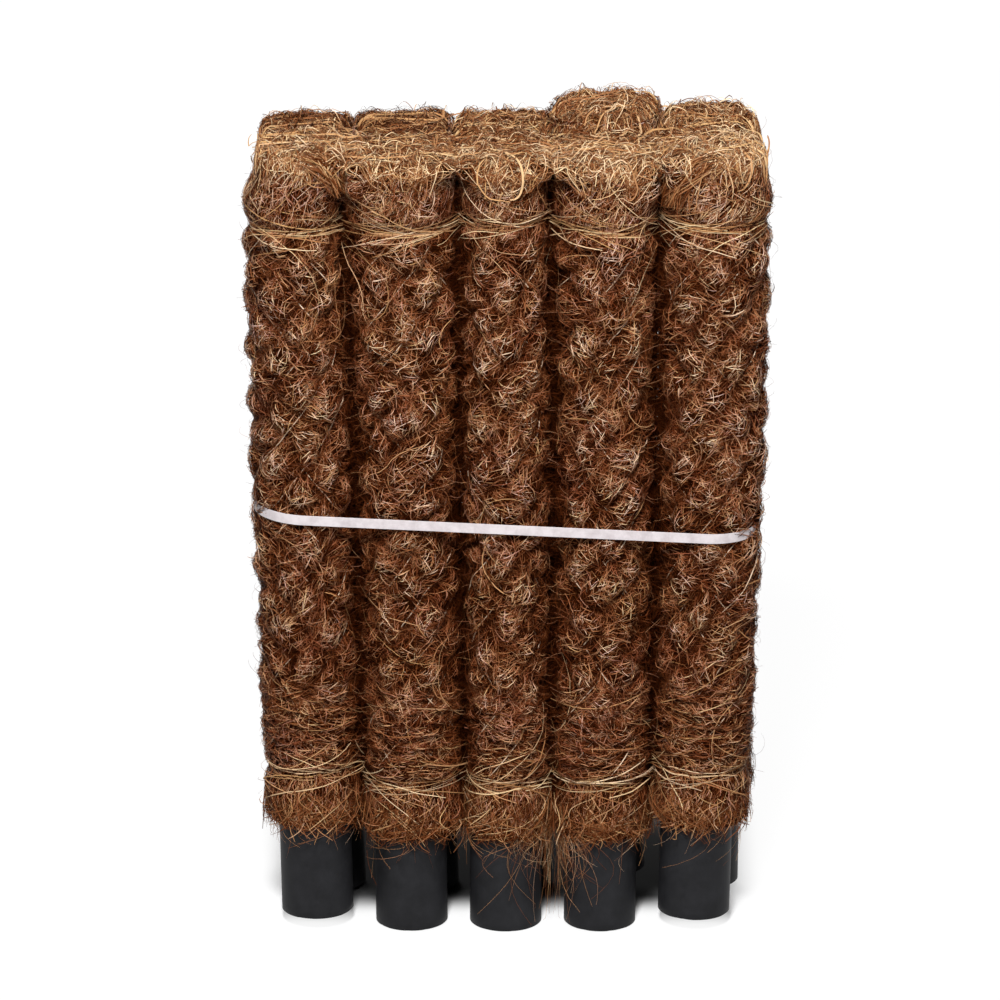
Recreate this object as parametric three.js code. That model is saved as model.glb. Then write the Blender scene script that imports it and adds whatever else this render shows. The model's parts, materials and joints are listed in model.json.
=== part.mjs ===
// A strapped pack of coir moss poles, in millimetres with +Z up.
// Each pole is a bare-footed plastic pipe in a sleeve of coir, bound by one thread wound up it and back.
// The thread cinches a waist near each end and sinks into the grooves between the sleeve's lumps.
// The poles stand in two rows inside one welded strap, and each can be drawn upwards out of the pack.
// The origin is on the floor under the middle of the pack; the front row is at -Y.
import * as THREE from "three";

// Pole
const POLE_LENGTH = 400;
const PIPE_DIAMETER = 36;
const PIPE_WALL = 1.5;
const FOOT_LENGTH = 50;

// Coir wrap: thicker towards the top, so the pack fans out
const WRAP_THICKNESS_FOOT = 5.4;
const WRAP_THICKNESS_TOP = 7.7;
const CROWN_HEIGHT = 6;
const LUMP_HEIGHT = 29;
const LUMPS_AROUND = 6;
const WAIST_INSET = 28;

// Binding thread
const THREAD_DIAMETER = 0.7;
const THREAD_SPACING = 0.5;
const WAIST_TURNS = 2;

// Pack: two rows of poles, some standing a little higher than the rest.
// The back row's feet stand to the right of the front row's, and its tops are straight behind them.
const COLUMN_COUNT = 5;
const ROW_COUNT = 2;
const POLE_GAP = 0.4;
const BACK_FOOT_DRIFT = 5;
const RISES = {
  front: [6, 0, 0, 0, 6],
  back: [0, 0, 0, 10, 3],
};

// Strap
const STRAP_WIDTH = 5;
const STRAP_THICKNESS = 0.6;
const STRAP_HEIGHT = 0.541 * POLE_LENGTH;
const STRAP_TILT = 2.6;
const STRAP_LAP = 30;

// Clearances
const FIT = 0.3;
const STRAP_FIT = 0.5;

// Facets: one side of the wrap for each lump and one for each groove between lumps
const WRAP_SIDES = 2 * LUMPS_AROUND;
const PIPE_SIDES = 16;
const THREAD_SIDES = 3;
const STRAP_CORNER_STEPS = 8;

// Grooves are deep enough to sink both layers of thread
const GROOVE_DEPTH = FIT + 2 * THREAD_DIAMETER + 1.4 * THREAD_SPACING;

const UP = new THREE.Vector3(0, 0, 1);

const coir = new THREE.MeshStandardMaterial({ color: 0x6b4022, roughness: 0.95, metalness: 0 });
const clearThread = new THREE.MeshStandardMaterial({ color: 0xc9b48c, roughness: 0.3, metalness: 0 });
const blackPlastic = new THREE.MeshStandardMaterial({ color: 0x2b2a2c, roughness: 0.6, metalness: 0 });
const whitePlastic = new THREE.MeshStandardMaterial({ color: 0xe6e3ea, roughness: 0.45, metalness: 0 });

// Outer radius that the wrap never passes, at a height along the pole
function wrapRadius(z) {
  const thickness = THREE.MathUtils.mapLinear(z, 0, POLE_LENGTH, WRAP_THICKNESS_FOOT, WRAP_THICKNESS_TOP);
  return PIPE_DIAMETER / 2 + thickness;
}

// Radius at the bottom of the grooves and waists
function grooveRadius(z) {
  return wrapRadius(z) - GROOVE_DEPTH;
}

// Distance between the axes of neighbours in a row, at a height above the floor
function polePitch(z) {
  return 2 * wrapRadius(z) + POLE_GAP;
}

// The rows don't lean apart, so they are as far from each other as the thick ends of the wraps make them
const ROW_PITCH = polePitch(POLE_LENGTH);

// A point about the pole's axis, at an angle counted in sides of the wrap
function around(side, radius, z) {
  const angle = (side / WRAP_SIDES) * 2 * Math.PI;
  return new THREE.Vector3(radius * Math.cos(angle), radius * Math.sin(angle), z);
}

// A level ring about the pole's axis, with its radius given for each side
function levelRing(z, radiusAt) {
  return Array.from({ length: WRAP_SIDES }, (_, side) => around(side, radiusAt(side), z));
}

function roundRing(z, radius) {
  return levelRing(z, () => radius);
}

// A closed skin over rings of points, from a point inside its first ring to a point inside its last.
// Each ring turns anticlockwise about the way the rings advance, and each quad folds on its shorter diagonal.
function skin(start, rings, end) {
  const sides = rings[0].length;
  const points = [start, ...rings.flat(), end];
  const last = rings.length - 1;
  const at = (ring, side) => 1 + ring * sides + (side % sides);
  const faces = [];
  for (let side = 0; side < sides; side++) {
    faces.push(0, at(0, side + 1), at(0, side));
    for (let ring = 0; ring < last; ring++) {
      const [a, b, c, d] = [at(ring, side), at(ring, side + 1), at(ring + 1, side + 1), at(ring + 1, side)];
      if (points[a].distanceTo(points[c]) <= points[b].distanceTo(points[d])) faces.push(a, b, c, a, c, d);
      else faces.push(a, b, d, b, c, d);
    }
    faces.push(at(last, side), at(last, side + 1), points.length - 1);
  }
  const geometry = new THREE.BufferGeometry().setFromPoints(points).setIndex(faces);
  geometry.computeVertexNormals();
  return geometry;
}

function pipeGeometry() {
  const outer = PIPE_DIAMETER / 2;
  const inner = outer - PIPE_WALL;
  const wall = [
    new THREE.Vector2(inner, 0),
    new THREE.Vector2(outer, 0),
    new THREE.Vector2(outer, POLE_LENGTH),
    new THREE.Vector2(inner, POLE_LENGTH),
    new THREE.Vector2(inner, 0),
  ];
  return new THREE.LatheGeometry(wall, PIPE_SIDES).rotateX(Math.PI / 2);
}

// Heights along the pole: the waists, and the levels of the lumpy body between them
const turnRise = THREAD_DIAMETER + THREAD_SPACING;
const waistHalf = (WAIST_TURNS * turnRise + THREAD_DIAMETER) / 2 + FIT;
const lowerWaist = FOOT_LENGTH + WAIST_INSET;
const upperWaist = POLE_LENGTH - WAIST_INSET;
const bodyStart = lowerWaist + waistHalf;
const bodyEnd = upperWaist - waistHalf;
const levelCount = Math.round((bodyEnd - bodyStart) / (LUMP_HEIGHT / 2));
const levelHeight = (level) => THREE.MathUtils.lerp(bodyStart, bodyEnd, level / levelCount);

// The sleeve runs from a skirt above the bare foot, through both waists, to a crown over the pipe's end.
// Lumps and groove crossings take turns round each level, so the lumps of neighbouring levels are staggered.
function wrapGeometry() {
  const boreRadius = (PIPE_DIAMETER / 2 + FIT) / Math.cos(Math.PI / WRAP_SIDES);
  const boreTop = POLE_LENGTH + FIT;
  const waist = (z) => [-waistHalf, waistHalf].map((dz) => roundRing(z + dz, grooveRadius(z + dz)));

  const skirtShape = [
    [0, 0.93],
    [0.25, 1],
    [0.65, 0.985],
  ];
  const skirt = skirtShape.map(([share, part]) => {
    const z = THREE.MathUtils.lerp(FOOT_LENGTH, lowerWaist - waistHalf, share);
    return roundRing(z, part * wrapRadius(z));
  });

  const body = [];
  for (let level = 1; level < levelCount; level++) {
    const z = levelHeight(level);
    body.push(levelRing(z, (side) => ((level + side) % 2 === 0 ? grooveRadius(z) : wrapRadius(z))));
  }

  const crownStart = upperWaist + waistHalf;
  const crownTop = POLE_LENGTH + CROWN_HEIGHT;
  const crownShape = [
    [0.25, 0.97],
    [0.55, 1],
    [0.85, 0.94],
    [0.97, 0.68],
  ];
  const crown = crownShape.map(([share, part]) => {
    const z = THREE.MathUtils.lerp(crownStart, crownTop, share);
    return roundRing(z, part * wrapRadius(crownStart));
  });

  const rings = [
    roundRing(boreTop, boreRadius),
    roundRing(FOOT_LENGTH, boreRadius),
    ...skirt,
    ...waist(lowerWaist),
    ...body,
    ...waist(upperWaist),
    ...crown,
  ];
  return skin(new THREE.Vector3(0, 0, boreTop), rings, new THREE.Vector3(0, 0, crownTop));
}

// Centreline of the binding thread, one unbroken run with a corner at each side of the wrap that it passes.
// It turns round the lower waist, climbs the grooves, turns round the upper waist and comes down over itself.
function threadLine() {
  const bed = FIT + THREAD_DIAMETER / 2;
  const overlay = bed + THREAD_DIAMETER + THREAD_SPACING;
  const line = [];
  let side = 0;
  const lay = (z, lift) => {
    line.push(around(side, grooveRadius(z) + lift, z));
    side += 1;
  };
  const windWaist = (z) => {
    const steps = WAIST_TURNS * WRAP_SIDES;
    for (let step = 0; step < steps; step++) lay(z + (step / steps - 0.5) * WAIST_TURNS * turnRise, bed);
  };
  windWaist(lowerWaist);
  for (let level = 0; level <= levelCount; level++) lay(levelHeight(level), bed);
  windWaist(upperWaist);
  lay(upperWaist + waistHalf, overlay);
  if (side % 2 !== levelCount % 2) lay(upperWaist, overlay);
  for (let level = levelCount; level >= 0; level--) lay(levelHeight(level), overlay);
  return line;
}

function threadGeometry() {
  const line = threadLine();
  const rings = line.map((point, i) => {
    const before = line[Math.max(i - 1, 0)];
    const after = line[Math.min(i + 1, line.length - 1)];
    const along = after.clone().sub(before).normalize();
    const outward = new THREE.Vector3(point.x, point.y, 0);
    outward.addScaledVector(along, -along.dot(outward)).normalize();
    const across = along.clone().cross(outward);
    return Array.from({ length: THREAD_SIDES }, (_, side) => {
      const angle = (side / THREAD_SIDES) * 2 * Math.PI;
      const offset = outward.clone().multiplyScalar(Math.cos(angle)).addScaledVector(across, Math.sin(angle));
      return point.clone().addScaledVector(offset, THREAD_DIAMETER / 2);
    });
  });
  return skin(line[0], rings, line[line.length - 1]);
}

// Least gap between the thread and itself, on points along it that are at least a third of a turn apart
function leastThreadGap() {
  const line = threadLine();
  const perStep = 12;
  const points = [];
  for (let i = 0; i + 1 < line.length; i++)
    for (let k = 0; k < perStep; k++) points.push(line[i].clone().lerp(line[i + 1], k / perStep));
  const apart = (perStep * WRAP_SIDES) / 3;
  let least = Infinity;
  for (let i = 0; i < points.length; i++)
    for (let j = i + apart; j < points.length; j++) least = Math.min(least, points[i].distanceTo(points[j]));
  return least - THREAD_DIAMETER;
}

// A loop round the outer poles at a distance from their wraps, drawn out lengthwise to suit the strap's tilt
function strapOutline(path, distance, lapThickness) {
  const tiltStretch = 1 / Math.cos(THREE.MathUtils.degToRad(STRAP_TILT));
  const halfX = ((COLUMN_COUNT - 1) / 2) * polePitch(STRAP_HEIGHT) * tiltStretch;
  const halfY = ((ROW_COUNT - 1) / 2) * ROW_PITCH;
  const drift = BACK_FOOT_DRIFT * (1 - STRAP_HEIGHT / POLE_LENGTH);
  const radius = wrapRadius(STRAP_HEIGHT) + distance;
  const back = halfY + radius;
  path.absarc(halfX, -halfY, radius, -Math.PI / 2, 0, false);
  path.absarc(halfX + drift, halfY, radius, 0, Math.PI / 2, false);
  if (lapThickness > 0) {
    path.lineTo(STRAP_LAP / 2, back);
    path.lineTo(STRAP_LAP / 2, back + lapThickness);
    path.lineTo(-STRAP_LAP / 2, back + lapThickness);
    path.lineTo(-STRAP_LAP / 2, back);
  }
  path.absarc(-halfX + drift, halfY, radius, Math.PI / 2, Math.PI, false);
  path.absarc(-halfX, -halfY, radius, Math.PI, 1.5 * Math.PI, false);
  path.closePath();
  return path;
}

// The strap's two ends lap and are welded at the back of the pack
function strapGeometry() {
  const band = strapOutline(new THREE.Shape(), STRAP_FIT + STRAP_THICKNESS, STRAP_THICKNESS);
  band.holes.push(strapOutline(new THREE.Path(), STRAP_FIT, 0));
  const options = { depth: STRAP_WIDTH, bevelEnabled: false, curveSegments: STRAP_CORNER_STEPS };
  return new THREE.ExtrudeGeometry(band, options).translate(0, 0, -STRAP_WIDTH / 2);
}

const geometries = {
  pipe: pipeGeometry(),
  wrap: wrapGeometry(),
  thread: threadGeometry(),
  strap: strapGeometry(),
};

function addPart(parent, name, geometry, material) {
  const mesh = new THREE.Mesh(geometry, material);
  mesh.name = name;
  parent.add(mesh);
}

// One pole, leaning along its row away from the middle as far as the wraps' taper makes it.
// The drift is how far its foot stands to the right of its place, and it leans back to that place at its top.
// The low edge of its foot is at its rise, and the middle pole of the front row stands upright.
// Its wrap and thread are turned by whole sides, so that neighbouring poles differ.
function makePole(name, x, y, rise, turn, drift) {
  const fan = (polePitch(POLE_LENGTH) / polePitch(0) - 1) / POLE_LENGTH;
  const axis = new THREE.Vector3(x * fan - drift / POLE_LENGTH, 0, 1).normalize();
  const footDip = (PIPE_DIAMETER / 2) * Math.abs(axis.x);
  const pole = new THREE.Group();
  pole.position.set(x + drift, y, footDip).addScaledVector(axis, rise);
  pole.quaternion.setFromUnitVectors(UP, axis);
  const sleeve = new THREE.Group();
  sleeve.rotation.z = (turn / WRAP_SIDES) * 2 * Math.PI;
  pole.add(sleeve);
  addPart(pole, `${name}_pipe`, geometries.pipe, blackPlastic);
  addPart(sleeve, `${name}_coir_wrap`, geometries.wrap, coir);
  addPart(sleeve, `${name}_binding_thread`, geometries.thread, clearThread);
  return pole;
}

const pack = new THREE.Group();
const TURN_STEP = 5;
Object.entries(RISES).forEach(([row, rises], rowIndex) => {
  const y = (rowIndex - (ROW_COUNT - 1) / 2) * ROW_PITCH;
  const drift = rowIndex * BACK_FOOT_DRIFT;
  for (let column = 0; column < COLUMN_COUNT; column++) {
    const x = (column - (COLUMN_COUNT - 1) / 2) * polePitch(0);
    const turn = TURN_STEP * (rowIndex * COLUMN_COUNT + column);
    pack.add(makePole(`${row}_pole_${column + 1}`, x, y, rises[column], turn, drift));
  }
});

const strap = new THREE.Group();
strap.position.z = STRAP_HEIGHT;
strap.rotation.y = THREE.MathUtils.degToRad(STRAP_TILT);
addPart(strap, "strap", geometries.strap, whitePlastic);
pack.add(strap);

console.log(`least gap of the thread to itself: ${leastThreadGap().toFixed(2)} mm`);

export default pack;
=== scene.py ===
"""Looks of the strapped pack of coir moss poles: fibres, thread, pipes, strap, light and camera."""
import json
import math

import bpy
import numpy as np
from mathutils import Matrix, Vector

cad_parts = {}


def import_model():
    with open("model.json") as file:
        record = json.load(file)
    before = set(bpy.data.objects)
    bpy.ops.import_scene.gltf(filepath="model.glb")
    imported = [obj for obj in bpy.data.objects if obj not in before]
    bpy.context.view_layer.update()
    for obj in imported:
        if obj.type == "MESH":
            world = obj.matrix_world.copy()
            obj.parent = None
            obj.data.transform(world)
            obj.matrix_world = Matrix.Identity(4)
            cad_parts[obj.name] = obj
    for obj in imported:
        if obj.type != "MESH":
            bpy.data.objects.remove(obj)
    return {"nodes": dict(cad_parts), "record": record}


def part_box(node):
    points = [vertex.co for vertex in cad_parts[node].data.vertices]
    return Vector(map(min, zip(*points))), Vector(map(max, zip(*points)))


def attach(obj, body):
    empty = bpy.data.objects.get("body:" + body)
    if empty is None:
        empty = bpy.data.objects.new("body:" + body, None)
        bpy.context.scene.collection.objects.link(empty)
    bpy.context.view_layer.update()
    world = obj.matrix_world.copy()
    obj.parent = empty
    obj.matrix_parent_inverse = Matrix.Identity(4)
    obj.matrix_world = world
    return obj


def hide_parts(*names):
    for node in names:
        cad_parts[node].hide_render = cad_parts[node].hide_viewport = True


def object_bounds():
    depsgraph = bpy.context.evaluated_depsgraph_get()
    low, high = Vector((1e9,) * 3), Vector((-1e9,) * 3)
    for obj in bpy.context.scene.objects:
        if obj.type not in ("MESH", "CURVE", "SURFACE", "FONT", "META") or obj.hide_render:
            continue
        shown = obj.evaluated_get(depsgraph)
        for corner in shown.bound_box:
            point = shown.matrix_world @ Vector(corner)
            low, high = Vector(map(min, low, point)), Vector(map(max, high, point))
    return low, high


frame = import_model()
CAD_LOW, CAD_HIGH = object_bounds()

# Sizes of the pole, in millimetres along and across its own axis
MM = 0.001
FULL_TURN = 2 * math.pi
POLE_LENGTH = 400.0
PIPE_RADIUS = 18.0
PIPE_WALL = 1.5
FOOT_LENGTH = 50.0
WRAP_THICKNESS_FOOT = 5.4
WRAP_THICKNESS_TOP = 7.7
LOWER_WAIST = 78.0
UPPER_WAIST = 372.0
CROWN_TOP = 406.0
SIDES_AROUND = 12
LEVELS = 20
BODY_START = 79.85
BODY_END = 370.15
CROWN_EDGE = 396.0
POLE_GAP = 0.4
TURN_STEP = 5
COLUMN_COUNT = 5

# Looks of the coir, in millimetres
GROOVE_DEPTH = 4.5
FALLING_SHARE = 0.85
LUMP_JITTER = 0.34
LOWER_WAIST_DEPTH = 3.0
UPPER_WAIST_DEPTH = 3.2
WAIST_SPREAD = 3.8
CREST_DROP = 0.3
CORE_DROP = 0.5
LEAST_COVER = 0.8
SMOOTH_BELOW = 128.0
FIBRE_WIDTH = 0.43
FELT_WIDTH = 0.34
FELT_TONE = 0.49
FELT_TONE_SPREAD = 0.44
# Share of a felt fibre's tone kept deep in a groove: painted shade in the grooves
FELT_SHADED_GROOVE_TONE = 0.52
STRAW_WANDER = 0.09
LOW_SHADE = 0.09
LOW_SHADE_BAND = (100.0, 290.0)
# Painted shade: how much darker fibres are made beside a neighbour, in the gap itself, and at the back
# of a front crown
SIDE_SHADE = 0.32
GAP_SHADE = 0.52
REAR_SHADE = 0.14
REAR_SHADE_BAND = (-8.0, 16.0)
MEAN_RADIUS = 23.0
THREAD_WIDTH = 0.6

# Heights at which the sides' shape is given: low, in the middle, under the crown and on the crown
SIDE_HEIGHTS = (85.0, 250.0, 377.0, 394.0)

# How far the free outer sides of the corner poles stand beyond round at those heights
BULGES = {
    "front_pole_1": (1.0, 2.6, 1.0, -7.0),
    "front_pole_5": (2.6, 4.4, 2.6, -1.5),
    "back_pole_1": (0.0, 0.8, -2.0, -7.5),
    "back_pole_5": (0.0, 0.8, -2.0, -4.0),
}

# How far the meeting of two neighbours in a row lies to the right of halfway at those heights
MEETINGS = {
    "front": (
        (1.0, 0.0, -4.0, -4.0),
        (4.5, 2.7, 2.5, 2.5),
        (-1.5, -1.8, -4.0, -4.0),
        (1.0, 0.0, -2.0, -2.0),
    ),
    "back": (
        (-1.0, 1.0, 2.0, 2.0),
        (1.5, -1.0, -2.0, -2.0),
        (-0.5, 1.5, -3.0, -6.0),
        (1.0, -1.5, -1.0, -1.0),
    ),
}

# How much fibre bridges the outer corner between two crowns of a row, and how far down it reaches
BRIDGE = 0.8
BRIDGE_DROPS = {"front": (16.0, 3.0, 4.0, 20.0), "back": (6.0, 6.0, 6.0, 6.0)}

# How much lower each crown lies, by row from left to right
CROWN_SAGS = {"front": (4.0, 0.0, 0.0, 0.0, 3.5), "back": (6.0, 3.5, 3.0, 2.0, 1.0)}

# Added to the tone of each crown's loose fibres: above zero is paler, below zero is darker
CROWN_TONES = {"front": (0.10, 0.08, 0.05, 0.16, 0.15), "back": (-0.22, -0.22, -0.06, 0.01, 0.0)}

# How much lower each upper waist lies
WAIST_DROPS = {"front": (6.0, 3.0, 0.0, 3.0, 3.5), "back": (0.0, 0.0, 0.0, 0.0, 0.0)}

# How deep the notch between two crowns of a row is
CROWN_NOTCHES = {"front": 0.0, "back": 6.0}

# Sheaves drawn over a front corner: bearings of start and end, and the height they reach down to
DRAPES = {"front_pole_1": (-1.0, -0.6, 380.0), "front_pole_5": (-2.0, -2.5, 374.0)}

# Bearings of the long tufts that hang between two front poles
TUFTS = {"front_pole_3": -0.55, "front_pole_4": -2.6}

# Strap, in millimetres
STRAP_WIDTH = 5.0
STRAP_THICKNESS = 0.6
STRAP_HEIGHT = 216.4
STRAP_TILT = math.radians(2.6)
STRAP_FIT = 0.5
STRAP_LAP = 30.0

# Camera fitted to the photograph
VIEW_ELEVATION = math.radians(19.1)
VIEW_AZIMUTH = math.radians(-0.5)
VIEW_DISTANCE = 5.33
VIEW_TARGET = Vector((-0.0031, 0.0, 0.2142))
VIEW_LENS = 384.2
SENSOR_WIDTH = 36.0

# Lamps: name, place and disk size in metres, power in watts, and whether gloss shows it
LAMPS = (
    ("key", (-0.12, -1.9, 2.1), 0.4, 102.0, True),
    ("fill", (1.5, -1.9, 1.0), 1.2, 8.0, True),
    ("top", (0.1, -0.3, 2.3), 0.9, 9.0, True),
    ("back", (-0.6, 2.1, 0.6), 1.0, 32.0, False),
)
LAMP_TARGET = Vector((0, 0, 0.2))
WORLD_LIGHT = 0.06

# Floor, in metres: half its width, its drop below the feet, and where the painted shadow under the pack
# fades
FLOOR_HALF = 40.0
FLOOR_DROP = 0.0005
PAINTED_SHADOW_ASIDE = (0.085, 0.105)
PAINTED_SHADOW_FRONT = (-0.02, 0.01)
PAINTED_SHADOW_BACK = (0.09, 0.22)

# Where the floor turns white: in front, aside, far away and by how open it is; and its brightness there
WHITE_FRONT = (-0.035, 0.0)
WHITE_ASIDE = (0.10, 0.13)
WHITE_FAR = (0.5, 1.5)
WHITE_OPEN = (0.62, 0.95)
FLOOR_GLOW = 1.02

SEED = 41


# Pole frames


class Pole:
    """One pole's own frame and its lump pattern. Local millimetres become row metres in world()."""

    def __init__(self, index, body, axis):
        self.index = index
        self.body = body
        pipe = frame["nodes"][body + "_pipe"]
        points = np.empty(len(pipe.data.vertices) * 3)
        pipe.data.vertices.foreach_get("co", points)
        points = points.reshape(-1, 3)
        up = np.array(axis) / np.linalg.norm(axis)
        middle = (points.min(0) + points.max(0)) / 2
        self.base = middle - up * POLE_LENGTH * MM / 2
        right = np.array((1.0, 0.0, 0.0))
        right = right - up * right.dot(up)
        right /= np.linalg.norm(right)
        self.turn_matrix = np.stack([right, np.cross(up, right), up])
        self.turn = TURN_STEP * index
        column = index % COLUMN_COUNT
        self.neighbours = (column + 1 < COLUMN_COUNT, column > 0)
        row = body.split("_")[0]
        self.inward = 1.0 if row == "front" else -1.0
        self.sag = CROWN_SAGS[row][column]
        self.notch = CROWN_NOTCHES[row]
        bulge = np.array(BULGES.get(body, np.zeros(4)))
        meetings = (-bulge, *np.array(MEETINGS[row]), bulge)
        self.stands_left = -meetings[column]
        self.stands_right = meetings[column + 1]
        drops = (0.0, *BRIDGE_DROPS[row], 0.0)
        self.bridge_drops = (drops[column + 1], drops[column])
        rise = self.base[2] / MM
        self.lifted = max(rise - self.sag, 0.0)
        self.upper_waist = UPPER_WAIST - 0.5 * rise - WAIST_DROPS[row][column]
        self.crown_tone = CROWN_TONES[row][column]
        self.rng = np.random.default_rng(SEED + index)
        self.waves = Waves(self.rng)
        self.strap_height = STRAP_HEIGHT - math.tan(STRAP_TILT) * middle[0] / MM - rise

    def world(self, local):
        return self.base + (local * MM) @ self.turn_matrix

    def near_strap(self, heights):
        return np.abs(heights - self.strap_height) < STRAP_WIDTH

    def facing(self, angle):
        """True where the side looks towards a neighbour in the row."""
        return np.where(np.cos(angle) > 0, *self.neighbours)

    def swell(self, angle, z):
        """How far the side stands beyond round, by free bulges and by neighbours that give way."""
        right = np.interp(z, SIDE_HEIGHTS, self.stands_right)
        left = np.interp(z, SIDE_HEIGHTS, self.stands_left)
        return np.where(np.cos(angle) > 0, right, left) * np.cos(angle) ** 2


class Waves:
    """Smooth seeded noise on the pole's side, which closes round the pole."""

    def __init__(self, rng, count=7):
        self.around = rng.integers(-4, 5, (6, count))
        self.along = rng.uniform(0.02, 0.16, (6, count)) * rng.choice((-1, 1), (6, count))
        self.phase = rng.uniform(0, FULL_TURN, (6, count))

    def __call__(self, channel, angle, z):
        total = 0.0
        for around, along, phase in zip(self.around[channel], self.along[channel], self.phase[channel]):
            total = total + np.sin(around * angle + along * z + phase)
        return total / math.sqrt(len(self.phase[channel]) / 2) / 2


def smooth_step(low, high, value):
    share = np.clip((value - low) / (high - low), 0, 1)
    return share * share * (3 - 2 * share)


def dent(z, middle, width):
    """1 at a height, fading away from it."""
    return np.exp(-(((z - middle) / width) ** 2))


def envelope(z):
    """Radius of the wrap without lumps."""
    growth = (WRAP_THICKNESS_TOP - WRAP_THICKNESS_FOOT) * z / POLE_LENGTH
    return PIPE_RADIUS + WRAP_THICKNESS_FOOT + growth


def pillow(pole, angle, z):
    """1 on a lump's crest and 0 along the rising thread grooves; the falling ones cut less deep."""
    column = angle / FULL_TURN * SIDES_AROUND + LUMP_JITTER * pole.waves(0, angle, z)
    level = (z - BODY_START) / (BODY_END - BODY_START) * LEVELS + LUMP_JITTER * pole.waves(1, angle, z)
    rising = (column - level - pole.turn) / 2
    falling = (column + level - pole.turn) / 2
    off_rising = 2 * np.abs(rising - np.round(rising))
    off_falling = 2 * np.abs(falling - np.round(falling))
    falling_cut = 1 - FALLING_SHARE * (1 - off_falling) ** 2.6
    return (1 - (1 - off_rising) ** 3) * falling_cut


def lumpiness(pole, z):
    """How strongly the lumps show: full on the body, faint low down, none past the waists."""
    upper = pole.upper_waist
    body = smooth_step(LOWER_WAIST, LOWER_WAIST + 10, z) * (1 - smooth_step(upper - 6, upper, z))
    return body * (0.35 + 0.65 * smooth_step(SMOOTH_BELOW - 22, SMOOTH_BELOW + 14, z))


def side_radius(pole, angle, z):
    """Outer radius of the felted coir, without loose fibres."""
    swell = pole.swell(angle, z)
    near_strap = dent(z, pole.strap_height, 9)
    depth = GROOVE_DEPTH * np.clip(1.0 + 0.4 * pole.waves(2, angle, z), 0.75, 1.25)
    depth = depth * (1 - 0.8 * near_strap * smooth_step(0.8, 2.0, free_swell(pole, angle)))
    lumps = depth * lumpiness(pole, z) * (1 - pillow(pole, angle, z))
    smooth = 0.8 * (1 - lumpiness(pole, z))
    waists = LOWER_WAIST_DEPTH * dent(z, LOWER_WAIST, WAIST_SPREAD)
    waists = waists + UPPER_WAIST_DEPTH * dent(z, pole.upper_waist, WAIST_SPREAD)
    pinch = 0.9 * dent(z, pole.strap_height, 4.5)
    drop = np.where(np.cos(angle) > 0, *pole.bridge_drops)
    crown = smooth_step(CROWN_EDGE - drop, POLE_LENGTH - 0.5 * drop, z)
    cusp = 0.8 * beside(pole, angle) * (1 - crown) - crown * crown_corner(pole, angle)
    shoulder = 2.0 * smooth_step(392, 402, z) ** 2 * (1 - inside(pole, angle))
    hem = 1.2 * (1 - smooth_step(FOOT_LENGTH - 3, FOOT_LENGTH + 5, z))
    small = 0.4 * pole.waves(3, 3 * angle, 3.1 * z)
    banded = smooth_step(LOWER_WAIST, LOWER_WAIST + 6, z)
    banded = banded * (1 - smooth_step(SMOOTH_BELOW - 10, SMOOTH_BELOW + 10, z))
    small = small + 0.7 * banded * np.sin(0.85 * z + 2.5 * pole.waves(1, angle, z))
    free = envelope(z) + swell - CREST_DROP - lumps - smooth - waists
    free = free - pinch - cusp - shoulder - hem + small
    free = np.maximum(free, PIPE_RADIUS + LEAST_COVER)
    return np.maximum(free, pressed_radius(pole, angle, z))


def free_swell(pole, angle):
    """How far a free outer side stands beyond round near the strap."""
    free = np.where(np.cos(angle) > 0, *np.logical_not(pole.neighbours))
    return free * pole.swell(angle, STRAP_HEIGHT)


def beside(pole, angle):
    """1 where the side faces a neighbour in its row, fading to 0 away from it."""
    return pole.facing(angle) * smooth_step(0.92, 0.98, np.abs(np.cos(angle)))


def shade(pole, angle, z):
    """How much painted shade darkens the fibres towards a neighbour in the row, up to the crowns."""
    broad = pole.facing(angle) * smooth_step(0.55, 0.95, np.abs(np.cos(angle)))
    darker = SIDE_SHADE * broad + GAP_SHADE * beside(pole, angle)
    return darker * (1 - smooth_step(CROWN_EDGE - 20, CROWN_EDGE, z))


def pressed_radius(pole, angle, z):
    """Radius of the flats where neighbours in a row press on each other, and 0 away from them."""
    off_axis = np.abs(np.arcsin(np.clip(np.sin(angle), -1, 1)))
    flat = (envelope(z) + pole.swell(angle, z) + POLE_GAP / 2) / np.maximum(np.cos(off_axis), 0.9)
    pressed = pole.facing(angle) & (off_axis < 0.2)
    return np.where(pressed, flat - 6.0 * smooth_step(0.02, 0.2, off_axis), 0.0)


def inside(pole, angle):
    """1 where a crown faces other crowns of the pack, and 0 on its free sides."""
    along = pole.facing(angle) * np.abs(np.cos(angle))
    return smooth_step(0.35, 0.75, np.maximum(along, pole.inward * np.sin(angle)))


def crown_corner(pole, angle):
    """How far a crown spreads beyond its round shape into the corners between the crowns."""
    square = 1 / np.maximum(np.abs(np.cos(angle)), np.abs(np.sin(angle))) - 1
    inner = BRIDGE * (1 - min(pole.lifted / 8, 1))
    fill = pole.facing(angle) * np.where(pole.inward * np.sin(angle) > 0, inner, BRIDGE)
    return envelope(POLE_LENGTH) * square * fill


def crown_rim(pole, angle):
    return envelope(POLE_LENGTH) - 0.6 + pole.swell(angle, POLE_LENGTH) + crown_corner(pole, angle)


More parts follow.
